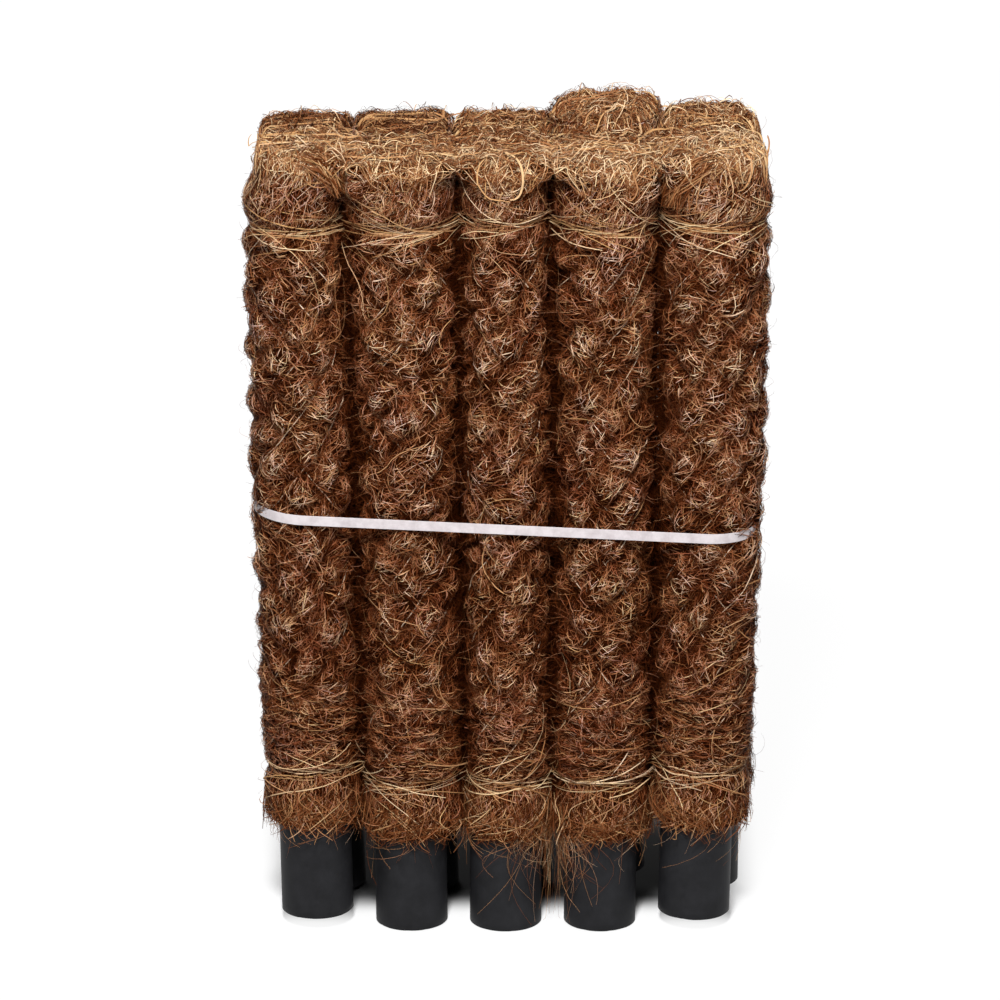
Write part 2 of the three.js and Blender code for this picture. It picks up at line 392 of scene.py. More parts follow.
def top_height(x, y, pole, rough=1.6):
    """Height of the felted crown over a point of the top; a raised crown slopes down to the others."""
    bearing = np.arctan2(y, x)
    reach = np.clip(np.hypot(x, y) / crown_rim(pole, bearing), 0, 1.1)
    within = inside(pole, bearing)
    meeting = 1.0 + 0.4 * pole.lifted + pole.notch * smooth_step(0.5, 0.95, np.abs(np.cos(bearing)))
    droop = (4.5 * (1 - within) + meeting * within) * reach**6
    sag = pole.sag * (1 - 0.4 * reach**2)
    height = CROWN_TOP - 1.5 - droop - sag + rough * pole.waves(4, x * 0.16, y * 3.1)
    beyond_pipe = smooth_step(PIPE_RADIUS + 0.8, PIPE_RADIUS + 4.0, np.hypot(x, y))
    return np.maximum(height, POLE_LENGTH + 1.2 - 12.0 * beyond_pipe)


# Meshes made of many points


def make_mesh(name, points, quads, uv=None):
    mesh = bpy.data.meshes.new(name)
    mesh.vertices.add(len(points))
    mesh.vertices.foreach_set("co", np.ascontiguousarray(points, dtype=np.float32).ravel())
    mesh.loops.add(quads.size)
    mesh.loops.foreach_set("vertex_index", np.ascontiguousarray(quads, dtype=np.int32).ravel())
    mesh.polygons.add(len(quads))
    mesh.polygons.foreach_set("loop_start", np.arange(0, quads.size, quads.shape[1], dtype=np.int32))
    if uv is not None:
        layer = mesh.uv_layers.new(name="OFBake")
        layer.data.foreach_set("uv", np.ascontiguousarray(uv[quads], dtype=np.float32).ravel())
    mesh.update(calc_edges=True)
    mesh.shade_smooth()
    return mesh


def ring_quads(rows, around, closed=False):
    """Faces between rows of points that close round; closed also joins the last row to the first."""
    row = np.arange(rows if closed else rows - 1)[:, None]
    column = np.arange(around)[None, :]
    first = row * around + column
    after = row * around + (column + 1) % around
    step = ((row + 1) % rows - row) * around
    return np.stack([first, after, after + step, first + step], -1).reshape(-1, 4)


def add_object(name, data):
    thing = bpy.data.objects.new(name, data)
    bpy.context.scene.collection.objects.link(thing)
    return thing


def add_piece(name, points, quads, material, body, uv=None):
    piece = add_object(name, make_mesh(name, points, quads, uv))
    piece.data.materials.append(material)
    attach(piece, body)
    return piece


def add_rings(name, points, around, material, body, replaced, closed=False):
    """A piece made of rows of points that close round, in place of a CAD piece."""
    quads = ring_quads(len(points) // around, around, closed)
    piece = add_piece(name, points, quads, material, body)
    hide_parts(replaced)
    return piece


def unit(vectors):
    return vectors / np.maximum(np.linalg.norm(vectors, axis=-1, keepdims=True), 1e-9)


class Fibres:
    """Collects fibre centrelines in a pole's local millimetres and turns them into one mesh.

    A fibre is a flat strip or a three-sided tube. Its place in the UV map picks its tone and hue.
    """

    def __init__(self, pole):
        self.pole = pole
        self.points = []
        self.quads = []
        self.uv = []
        self.size = 0

    def _add(self, rings, tone, hue):
        """Joins rings of points along each fibre; rings of two make strips, rings of three tubes."""
        count, steps, around, _ = rings.shape
        first = (np.arange(count)[:, None] * steps + np.arange(steps - 1)).reshape(-1, 1) * around
        for corner in range(1 if around == 2 else around):
            after = (corner + 1) % around
            corners = np.array((corner, after, around + after, around + corner))
            self.quads.append(self.size + first + corners)
        tone = np.broadcast_to(np.clip(tone, 0.02, 0.98), (count, steps))
        u = tone[..., None] + 0.006 * np.linspace(-1, 1, around)
        v = np.reshape(np.clip(hue, 0.05, 0.95), (-1, 1, 1)) + np.linspace(-0.02, 0.02, steps)[:, None]
        self.uv.append(np.stack(np.broadcast_arrays(u, v), -1).reshape(-1, 2))
        self.points.append(rings.reshape(-1, 3))
        self.size += count * steps * around

    def strips(self, lines, outward, width, tone, hue, tilt=0.6):
        count, steps, _ = lines.shape
        along = unit(np.gradient(lines, axis=1))
        across = unit(np.cross(along, outward))
        facing = np.cross(across, along)
        roll = self.pole.rng.normal(0, tilt, (count, 1, 1))
        across = across * np.cos(roll) + facing * np.sin(roll)
        taper = 0.35 + 0.65 * np.sqrt(np.sin(np.linspace(0.12, math.pi - 0.12, steps)))
        half = np.reshape(width, (-1, 1, 1)) / 2 * taper[None, :, None] * across
        self._add(np.stack([lines - half, lines + half], axis=2), tone, hue)

    def tubes(self, lines, width, tone, hue, tip=0.45):
        along = unit(np.gradient(lines, axis=1))
        upright = np.abs(along[..., 2:3]) > 0.9
        helper = np.where(upright, np.array((1.0, 0.0, 0.0)), np.array((0.0, 0.0, 1.0)))
        first_side = unit(np.cross(along, helper))
        second_side = np.cross(along, first_side)
        taper = np.linspace(1.0, tip, lines.shape[1])
        radius = np.reshape(width, (-1, 1, 1)) / 2 * taper[None, :, None]
        rings = []
        for corner in range(3):
            angle = corner * FULL_TURN / 3
            side = math.cos(angle) * first_side + math.sin(angle) * second_side
            rings.append(lines + radius * side)
        self._add(np.stack(rings, axis=2), tone, hue)

    def finish(self, name, material):
        points = self.pole.world(np.concatenate(self.points))
        quads = np.concatenate(self.quads)
        return add_piece(name, points, quads, material, self.pole.body, np.concatenate(self.uv))


# Fibres of one pole


def shares(steps):
    """Even steps along a fibre from 0 to 1."""
    return np.linspace(0, 1, steps)[None, :]


def walk(pole, steps, length, x, y, heading, curl, wander=0.0, radius=1.0, swirl=0.0):
    """Paths as rows of x and y: each fibre keeps turning by its own curl, and wanders.

    On the side, x is the angle at a radius and y the height. With swirl, fibres run round the lumps.
    """
    stride = length / (steps - 1)
    xs = np.empty((len(x), steps))
    ys = np.empty((len(x), steps))
    for step in range(steps):
        xs[:, step] = x
        ys[:, step] = y
        x = x + stride * np.cos(heading) / radius
        y = y + stride * np.sin(heading)
        heading = heading + stride * curl
        if wander:
            heading = heading + pole.rng.normal(0, wander, len(x))
        if np.any(swirl):
            around = lump_bearing(pole, x, y)
            heading = heading + swirl * 0.5 * np.sin(2 * (around - heading))
    return xs, ys


def lump_bearing(pole, angle, z):
    """Bearing along a lump's contour, on the unrolled side."""
    reach = 1.5
    here = pillow(pole, angle, z)
    sideways = pillow(pole, angle + reach / MEAN_RADIUS, z) - here
    upwards = pillow(pole, angle, z + reach) - here
    return np.arctan2(sideways, -upwards)


def on_side(angles, radius, heights):
    return np.stack([radius * np.cos(angles), radius * np.sin(angles), heights], -1)


def outward_from(lines):
    flat = lines.copy()
    flat[..., 2] = 0
    return unit(flat)


def side_normal(pole, angles, heights):
    """Direction square to the lumpy side."""
    reach = 1.0
    here = side_radius(pole, angles, heights)
    turned = (side_radius(pole, angles + reach / MEAN_RADIUS, heights) - here) / reach
    raised = (side_radius(pole, angles, heights + reach) - here) / reach
    radial = on_side(angles, 1.0, 0 * heights)
    around = np.stack([-np.sin(angles), np.cos(angles), 0 * angles], -1)
    slope = on_side(angles, 0.0, np.clip(raised, -1.2, 1.2))
    return unit(radial - np.clip(turned, -1.2, 1.2)[..., None] * around - slope)


def under_strap(pole, angles, heights, radius):
    """Keeps fibres under the strap, except on a bulging side, where the coir swells over it."""
    swollen = free_swell(pole, angles) > 1.0
    crossing = (np.abs(heights - pole.strap_height) < STRAP_WIDTH / 2 + 1.0) & ~swollen
    return np.where(crossing, np.minimum(radius, envelope(heights) + 0.2), radius)


def under_felt(pole, fibres, count, low, high):
    """The lower layer of the felt: fibres lying every way under the upper ones, coloured near black as
    painted shade for their shadow, and darker still in the grooves.
    """
    rng = pole.rng
    steps = 3
    angle = rng.uniform(0, FULL_TURN, count)
    z = rng.uniform(low, high, count)
    heading = rng.uniform(0, FULL_TURN, count)
    length = 4.0 + rng.gamma(2.0, 2.0, count)
    curl = rng.normal(0, 0.12, count)
    angles, heights = walk(pole, steps, length, angle, z, heading, curl, 0.2, MEAN_RADIUS)
    heights = np.clip(heights, FOOT_LENGTH + 1, POLE_LENGTH)
    radius = side_radius(pole, angles, heights) + rng.uniform(-0.45, 0.25, (count, 1))
    radius = under_strap(pole, angles, heights, radius)
    lines = on_side(angles, radius, heights)
    crest = felt_crest(pole, angles, heights)
    # Near-black tone: painted shade under the upper layer and in the grooves
    tone = rng.uniform(0.0, 0.06, (count, 1)) * (0.3 + 0.7 * crest)
    hue = 0.5 + 0.25 * pole.waves(5, angle, z) + rng.normal(0, 0.15, count)
    width = FELT_WIDTH * rng.uniform(0.9, 1.5, count)
    fibres.strips(lines, outward_from(lines), width, tone, hue, tilt=0.4)


def felt_crest(pole, angles, heights):
    """1 on the crests of lumps, 0 deep in grooves, and between them where there are no lumps. It dips
    at the upper waist; where it sets a fibre's tone, the grooves and that dip are painted shade.
    """
    lumps = lumpiness(pole, heights)
    crest = pillow(pole, angles, heights) * lumps + 0.75 * (1 - lumps)
    return crest * (1 - 0.7 * dent(heights, pole.upper_waist, 2.5))


def felt(pole, fibres, count, low, high, bearing=0.0, drawn=0.0, tone_lift=0.0):
    """The upper layer of the felt: fibres that ball up the lumps, some drawn along a bearing."""
    rng = pole.rng
    steps = 4
    angle = rng.uniform(0, FULL_TURN, count)
    z = rng.uniform(low, high, count)
    is_drawn = rng.random(count) < drawn
    along = bearing + rng.normal(0, 0.4, count) + math.pi * rng.integers(0, 2, count)
    flow = 2.2 * pole.waves(2, 2 * angle, 1.3 * z) + rng.normal(0, 0.9, count)
    heading = np.where(is_drawn, along, flow)
    curl = rng.normal(0, 0.035, count) * np.where(is_drawn, 0.4, 1.0)
    edge = np.clip(0.8 - felt_crest(pole, angle, z), 0, 1)
    swirl = np.where(is_drawn, 0.0, np.clip(rng.uniform(0.3, 1.5, count) * edge, 0, 1))
    length = 3.5 + rng.gamma(2.2, 1.7, count)
    angles, heights = walk(pole, steps, length, angle, z, heading, curl, 0.05, MEAN_RADIUS, swirl)
    heights = np.clip(heights, FOOT_LENGTH, POLE_LENGTH)
    share = shares(steps)
    arch = 4 * share * (1 - share)
    lift = rng.uniform(0.0, 0.7, (count, 1)) + arch * rng.gamma(1.3, 0.3, (count, 1))
    lift = lift + share**2 * rng.gamma(0.5, 0.6, (count, 1))
    radius = side_radius(pole, angles, heights) + lift
    radius = under_strap(pole, angles, heights, radius)
    lines = on_side(angles, radius, heights)
    crest = felt_crest(pole, angles, heights)
    patch = pole.waves(4, angles, heights)
    own = np.clip(rng.normal(FELT_TONE, FELT_TONE_SPREAD, (count, 1)), 0.0, 0.97)
    # Painted shade darkens fibres in the grooves and at the upper waist; painted light makes lifted
    # fibres paler
    tone = own * (FELT_SHADED_GROOVE_TONE + (1 - FELT_SHADED_GROOVE_TONE) * crest) + 0.04 * lift + 0.03 * patch
    tone = tone + 0.06 * smooth_step(CROWN_EDGE - 11, POLE_LENGTH, heights)
    tone = tone - LOW_SHADE * (1 - smooth_step(*LOW_SHADE_BAND, heights))
    # Painted shade towards a neighbour in the row
    tone = tone * (1 - shade(pole, angles, heights))
    hue = 0.5 + 0.15 * pole.waves(5, angle, z) + rng.normal(0, 0.2, count)
    width = FELT_WIDTH * rng.uniform(0.6, 1.2, count)
    fibres.strips(lines, side_normal(pole, angles, heights), width, tone + tone_lift, hue, tilt=0.45)


def straws(pole, fibres, count, low, high, slope, wander=STRAW_WANDER, raised=0.0):
    """Long pale fibres lying loosely round the pole; raised ones stand off it and are paler."""
    rng = pole.rng
    steps = 16
    angle = rng.uniform(0, FULL_TURN, count)
    z = rng.uniform(low, high, count)
    heading = rng.normal(0, slope, count) + math.pi * rng.integers(0, 2, count)
    length = rng.uniform(22, 75, count)
    curl = rng.normal(0, 0.02, count) * wander / STRAW_WANDER
    angles, heights = walk(pole, steps, length, angle, z, heading, curl, wander, MEAN_RADIUS)
    heights = np.clip(heights, FOOT_LENGTH - 6, POLE_LENGTH + 2)
    surface = side_radius(pole, angles, heights)
    stiff = surface.copy()
    for _ in range(6):
        stiff[:, 1:-1] = np.maximum(stiff[:, 1:-1], (stiff[:, :-2] + stiff[:, 2:]) / 2 - 0.1)
    radius = stiff + rng.uniform(0.2, 0.9, (count, 1)) + raised
    radius = under_strap(pole, angles, heights, radius)
    lines = on_side(angles, radius, heights)
    # Raised straws are made paler: painted light against the shade of the waist grooves they lie in
    tone = rng.uniform(0.45, 0.88, (count, 1)) + 0.15 * raised
    hue = rng.uniform(0.0, 0.35, count)
    fibres.strips(lines, outward_from(lines), rng.uniform(0.28, 0.62, count), tone, hue, tilt=0.3)


def skirt(pole, fibres, count):
    """Fibres spread down from the lower waist into a flared, ragged hem."""
    rng = pole.rng
    each = (count, 1)
    steps = 7
    share = shares(steps)
    angle = rng.uniform(0, FULL_TURN, each)
    start = LOWER_WAIST - rng.uniform(2, 22, each)
    end = FOOT_LENGTH + rng.normal(3.0, 4.0, each)
    heights = start + (end - start) * share
    depth = rng.random(each) ** 0.6
    flare = envelope(FOOT_LENGTH) + 1.0 - 4.8 * (1 - depth) + rng.normal(0, 1.3, each)
    flare = flare + pole.swell(angle, FOOT_LENGTH + 20) + 1.5 * beside(pole, angle)
    waist = envelope(LOWER_WAIST) - LOWER_WAIST_DEPTH + 1.5 * depth
    radius = waist + (flare - waist) * np.sin(share * math.pi / 2) ** 0.9
    drift = rng.normal(0, 0.55, each) * share
    drift = drift + rng.normal(0, 0.25, each) * np.sin(share * math.pi)
    lines = on_side(angle + drift, np.maximum(radius, PIPE_RADIUS + 0.4), heights)
    # Outer fibres of the skirt are paler and inner ones darker: painted shade under the outer layer
    tone = rng.beta(1.3, 2.1, each) * 0.85 + 0.12 * depth - 0.02
    width = FIBRE_WIDTH * rng.uniform(0.6, 1.1, count)
    fibres.strips(lines, outward_from(lines), width, tone, rng.uniform(0.0, 0.45, count))


def hanging(pole, fibres, count, around=0.0, spread=math.pi, longest=3.5):
    """Single long fibres that hang from the hem over the bare pipe."""
    rng = pole.rng
    each = (count, 1)
    steps = 9
    share = shares(steps)
    angle = around + rng.uniform(-spread, spread, each)
    drop = rng.gamma(2.0, longest, each) + 3
    start = FOOT_LENGTH + rng.uniform(0, 10, each)
    heights = np.maximum(start - (start - FOOT_LENGTH + drop) * share, 3.0)
    radius = envelope(FOOT_LENGTH) - rng.uniform(0.3, 3.5, each)
    radius = radius + rng.normal(0, 1.6, each) * share**1.5
    radius = np.maximum(radius, PIPE_RADIUS + 0.3)
    drift = rng.normal(0, 0.5, each) * share
    drift = drift + rng.normal(0, 0.4, each) * np.sin(share * math.pi)
    lines = on_side(angle + drift, radius, heights)
    tone = rng.uniform(0.35, 0.95, each)
    fibres.tubes(lines, rng.uniform(0.16, 0.30, count), tone, rng.uniform(0.1, 0.6, count))


def crown_top(pole, fibres, count):
    """A tangle of golden fibres over the pole's end; painted shade makes the front row's darker towards
    the back.
    """
    rng = pole.rng
    each = (count, 1)
    steps = 9
    bearing = rng.uniform(0, FULL_TURN, count)
    spread = crown_rim(pole, bearing) * np.sqrt(rng.random(count))
    x = spread * np.cos(bearing)
    y = spread * np.sin(bearing)
    heading = rng.uniform(0, FULL_TURN, count)
    curl = rng.normal(0, 0.07, count)
    length = 6 + rng.gamma(2.0, 5.0, count)
    xs, ys = walk(pole, steps, length, x, y, heading, curl, 0.12)
    out = np.hypot(xs, ys)
    bearing = np.arctan2(ys, xs)
    rim = crown_rim(pole, bearing)
    past = np.maximum(out - rim, 0)
    reach = rng.gamma(1.0, 0.6, each) + 0.2 + 3.0 * inside(pole, bearing)
    drawn_in = (np.minimum(out, rim) + reach * np.tanh(past / (reach + 1))) / np.maximum(out, 1e-6)
    past = past * (1 - 0.8 * inside(pole, bearing))
    share = shares(steps)
    lift = rng.uniform(-0.6, 1.2, each)
    lift = lift + np.sin(share * math.pi) * rng.gamma(1.2, 0.9, each)
    xs = xs * drawn_in
    ys = ys * drawn_in
    droop = np.minimum(past * rng.uniform(0.4, 0.95, each), 9)
    lines = np.stack([xs, ys, top_height(xs, ys, pole) + lift - droop], -1)
    tone = rng.beta(1.0, 1.3, each) * 0.95 + 0.02
    # Painted light makes lifted fibres paler; those drooping past the rim are darker
    tone = tone + 0.05 * lift - 0.08 * smooth_step(0, 8, past)
    # Painted shade towards the back of a front crown
    if pole.inward > 0:
        tone = tone - REAR_SHADE * smooth_step(*REAR_SHADE_BAND, ys)
    outward = unit(np.stack([xs * past, ys * past, 10 + 0 * past], -1))
    width = FIBRE_WIDTH * rng.uniform(0.5, 1.1, count)
    fibres.strips(lines, outward, width, tone + pole.crown_tone, rng.uniform(0.0, 0.35, count))


def loops(pole, fibres, count):
    """Long pale strands lying in wide bends over the crown, some reaching onto the next crown."""
    rng = pole.rng
    steps = 24
    x = rng.uniform(-24, 24, count)
    y = rng.uniform(-15, 15, count)
    heading = rng.normal(0, 0.4, count) + math.pi * rng.integers(0, 2, count)
    curl = rng.normal(0, 0.022, count)
    length = rng.uniform(35, 90, count)
    height = rng.uniform(1.2, 3.0, (count, 1))
    xs, ys = walk(pole, steps, length, x, y, heading, curl)
    out = np.hypot(xs, ys)
    bearing = np.arctan2(ys, xs)
    over = np.maximum(out - crown_rim(pole, bearing), 0)
    within = inside(pole, bearing)
    most = 1.5 + 10.0 * within
    held = (out - over + most * np.tanh(over / most)) / np.maximum(out, 1e-6)
    fall = 15 * np.tanh(over / 15) * (0.8 - 0.7 * within)
    level = top_height(xs, ys, pole, rough=0.4) + height - fall
    lines = np.stack([xs * held, ys * held, level], -1)
    tone = rng.uniform(0.55, 0.88, (count, 1))
    up = np.zeros_like(lines) + np.array((0.0, -0.5, 0.85))
    width = rng.uniform(0.45, 1.2, count)
    fibres.strips(lines, up, width, tone, rng.uniform(0.0, 0.25, count), tilt=0.3)


def drape(pole, fibres, count, first, last, low):
    """A sheaf of fibres drawn from the crown down over the corner towards the next pole."""
    rng = pole.rng
    each = (count, 1)
    steps = 8
    share = shares(steps)
    start = first + rng.normal(0, 0.22, each)
    end = last + rng.normal(0, 0.16, each)
    angles = start + (end - start) * share**0.8
    angles = angles + rng.normal(0, 0.08, each) * np.sin(math.pi * share)
    heights = rng.uniform(CROWN_EDGE, CROWN_EDGE + 8, each)
    heights = heights + (low + rng.gamma(1.5, 3.0, each) - heights) * share**1.3
    spread = rng.uniform(0.2, 1.0, each) * np.sin(share * math.pi / 2)
    radius = envelope(POLE_LENGTH) + rng.uniform(-0.5, 1.0, each) + 6.5 * spread
    lines = on_side(angles, radius, heights)
    tone = rng.beta(1.6, 1.6, each) * 0.8 + 0.08 - 0.12 * share
    width = FIBRE_WIDTH * rng.uniform(0.6, 1.4, count)
    fibres.strips(lines, outward_from(lines), width, tone, rng.uniform(0.0, 0.4, count), tilt=0.4)


def strays(pole, fibres, count):
    """Loose ends that stand off the side and make its outline fuzzy."""
    rng = pole.rng
    each = (count, 1)
    steps = 6
    share = shares(steps)
    angle = rng.uniform(0, FULL_TURN, each)
    z = rng.uniform(FOOT_LENGTH + 2, CROWN_EDGE, each)
    length = 2.0 + rng.gamma(1.4, 2.4, each)
    length = length * rng.choice((1.0, 1.8), each, p=(0.88, 0.12))
    swing = rng.uniform(0, FULL_TURN, each)
    out = rng.uniform(0.15, 0.7, each)
    rise = length * share * np.cos(swing) * np.sqrt(1 - out**2)
    slide = length * share * np.sin(swing) * np.sqrt(1 - out**2) / MEAN_RADIUS
    bend = rng.normal(0, 0.25, each) * share**2 * length
    angles = angle + slide + bend / MEAN_RADIUS
    heights = np.minimum(z + rise + 0.5 * bend, CROWN_TOP)
    off = length * out * np.sin(share * rng.uniform(1.2, 2.6, each))
    off = np.minimum(off * (1 - 0.6 * beside(pole, angle)), 8.0)
    off = np.where(pole.near_strap(heights), np.minimum(off, 0.3), off)
    radius = side_radius(pole, angles, np.clip(z, FOOT_LENGTH, CROWN_EDGE)) - 0.3 + off
    lines = on_side(angles, radius, heights)
    tone = rng.beta(1.6, 2.6, each) * 0.8
    fibres.tubes(lines, rng.uniform(0.13, 0.24, count), tone, rng.uniform(0.2, 0.8, count))


def crossing_hairs(pole, fibres, count):
    """Loose hairs that reach across the gap to the next pole in the row."""
    rng = pole.rng
    each = (count, 1)
    steps = 7
    share = shares(steps)
    side = rng.choice((-1.0, 1.0), each)
    bearing = rng.uniform(0.35, 0.95, each)
    angle = np.where(side > 0, 0.0, math.pi) - side * pole.inward * bearing
    z = rng.uniform(LOWER_WAIST, CROWN_EDGE - 4, each)
    start = on_side(angle, side_radius(pole, angle, z) + 0.2, z)
    reach = rng.uniform(3.0, 11.0, each)
    bow = np.sin(share * math.pi)
    across = side * reach * share
    depth = rng.normal(0, 1.2, each) * share
    depth = depth - pole.inward * rng.gamma(1.5, 0.4, each) * bow
    rise = rng.normal(0, 3.5, each) * share + rng.normal(0, 1.2, each) * bow
    lines = start + np.stack([across, depth, rise], -1)
    faces = np.where(side[:, 0] > 0, *pole.neighbours) & ~pole.near_strap(lines[..., 2]).any(1)
    lines = lines[faces]
    kept = len(lines)
    tone = rng.uniform(0.15, 0.75, (kept, 1))
    fibres.tubes(lines, rng.uniform(0.13, 0.24, kept), tone, rng.uniform(0.2, 0.9, kept))


def binding_net(pole, material):
    """The clear thread: six passes each way, sunk in the grooves and crossing them in straight runs."""
    fibres = Fibres(pole)
    passes = SIDES_AROUND // 2
    fine = 5
    steps = LEVELS * fine + 1
    level = np.linspace(0, LEVELS, steps)
    z = BODY_START + (BODY_END - BODY_START) * level / LEVELS
    for direction in (1, -1):
        start = 2 * np.arange(passes)[:, None] + pole.turn
        column = start + direction * level[None, :]
        angles = column / SIDES_AROUND * FULL_TURN
        heights = np.broadcast_to(z, angles.shape)
        radius = side_radius(pole, angles, heights)
        pull = (np.roll(radius, 1, 1) + np.roll(radius, -1, 1)) / 2
        pull[:, 0] = radius[:, 0]
        pull[:, -1] = radius[:, -1]
        ride = 2.2 * pole.waves(3, angles + direction, 0.4 * heights) - 1.65 + 0.5 * direction
        radius = np.maximum(radius, pull) + np.clip(ride, -1.8, 1.2) - 2.5 * beside(pole, angles)
        held = np.minimum(radius, envelope(heights) - 0.1)
        radius = np.where(pole.near_strap(heights), held, radius)
        fibres.tubes(on_side(angles, radius, heights), THREAD_WIDTH, 0.5, 0.5, tip=1.0)
    net = fibres.finish(pole.body + "_binding_net", material)
    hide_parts(pole.body + "_binding_thread")


def coir_core(pole, material):
    """The felted body under the loose fibres: a closed sleeve with its crown."""
    around = 72
    heights = np.concatenate([
        np.linspace(FOOT_LENGTH, LOWER_WAIST + 8, 14),
        np.linspace(LOWER_WAIST + 10, UPPER_WAIST - 10, 104),
        np.linspace(UPPER_WAIST - 8, CROWN_EDGE + 2, 18),
    ])
    angles = np.linspace(0, FULL_TURN, around, endpoint=False)
    angle_grid, height_grid = np.meshgrid(angles, heights)
    rim = crown_rim(pole, angle_grid[:1]) - 1.2
    edge = top_height(rim * np.cos(angle_grid[:1]), rim * np.sin(angle_grid[:1]), pole)
    height_grid = np.minimum(height_grid, edge - 2 * CORE_DROP)
    radius = side_radius(pole, angle_grid, height_grid) - CORE_DROP
    rows = [on_side(angle_grid, radius, height_grid)]
    bore = np.full((1, around), PIPE_RADIUS + 0.3)
    rows.insert(0, on_side(angle_grid[:1], bore, height_grid[:1]))
    for share in (1.0, 0.93, 0.8, 0.6, 0.38, 0.15, 0.02):
        reach = rim * share
        x = reach * np.cos(angle_grid[:1])
        y = reach * np.sin(angle_grid[:1])
        rows.append(np.stack([x, y, top_height(x, y, pole) - CORE_DROP], -1))
    points = pole.world(np.concatenate(rows).reshape(-1, 3))
    name = pole.body + "_coir_core"
    add_rings(name, points, around, material, pole.body, pole.body + "_coir_wrap")


def coir_fibres(pole, material):
    """All the loose fibre of one pole: its lumpy side, and its two ends with the strays."""
    side = Fibres(pole)
    upper = pole.upper_waist
    under_felt(pole, side, 4500, SMOOTH_BELOW - 12, upper + 2)
    felt(pole, side, 23000, SMOOTH_BELOW - 12, upper + 2, bearing=0.7, drawn=0.08)
    under_felt(pole, side, 900, LOWER_WAIST, SMOOTH_BELOW)
    felt(pole, side, 4900, LOWER_WAIST, SMOOTH_BELOW, drawn=0.6)
    side.finish(pole.body + "_coir_fibres", material)
    ends = Fibres(pole)
    under_felt(pole, ends, 1500, upper - 2, POLE_LENGTH)
    felt(pole, ends, 3800, upper - 2, POLE_LENGTH, bearing=1.2, drawn=0.5)
    under_felt(pole, ends, 900, FOOT_LENGTH, LOWER_WAIST + 2)
    felt(pole, ends, 1900, FOOT_LENGTH + 4, LOWER_WAIST + 2, bearing=1.4, drawn=0.7)
    straws(pole, ends, 34, LOWER_WAIST - 3, LOWER_WAIST + 4, 0.07, wander=0.06, raised=0.8)
    straws(pole, ends, 22, LOWER_WAIST, SMOOTH_BELOW, 0.2)
    straws(pole, ends, 40, upper - 2.5, upper + 2.5, 0.06, wander=0.05, raised=0.8)
    straws(pole, ends, 12, upper - 14, CROWN_EDGE, 0.35)
    loops(pole, ends, 16)
    straws(pole, ends, 9, SMOOTH_BELOW, upper, 0.5, wander=0.16)
    skirt(pole, ends, 1300)
    hanging(pole, ends, 50)
    if pole.body in TUFTS:
        hanging(pole, ends, 80, around=TUFTS[pole.body], spread=0.5, longest=9.0)
    if pole.body in DRAPES:
        drape(pole, ends, 260, *DRAPES[pole.body])
    crown_top(pole, ends, 2900)
    strays(pole, ends, 1250)
    crossing_hairs(pole, ends, 220)
    ends.finish(pole.body + "_coir_ends", material)


# Pipe and strap


def pipe(pole, material):
    """Smooth pipe with a slightly ragged sawn foot."""
    rng = pole.rng
    around = 64
    angles = np.linspace(0, FULL_TURN, around, endpoint=False)
    ragged = 0.18 * pole.waves(0, 2 * angles, 0 * angles) + rng.normal(0, 0.05, around)
    edge = 0.35
    outer = PIPE_RADIUS
    inner = PIPE_RADIUS - PIPE_WALL
    profile = [
        (inner, POLE_LENGTH, 0),
        (inner, FOOT_LENGTH, 0),
        (inner, edge, 0),
        (inner + edge, 0, 1),
        (outer - edge, 0, 1),
        (outer, edge, 0.6),
        (outer, 4.0, 0),
        (outer, FOOT_LENGTH, 0),
        (outer, POLE_LENGTH, 0),
    ]
    rows = []
    for radius, height, share in profile:
        level = height + np.maximum(ragged, 0) * share
        rows.append(on_side(angles, np.full(around, radius), level))
    points = pole.world(np.concatenate(rows))
    name = pole.body + "_smooth_pipe"
    replaced = pole.body + "_pipe"
    add_rings(name, points, around, material, pole.body, replaced, closed=True)


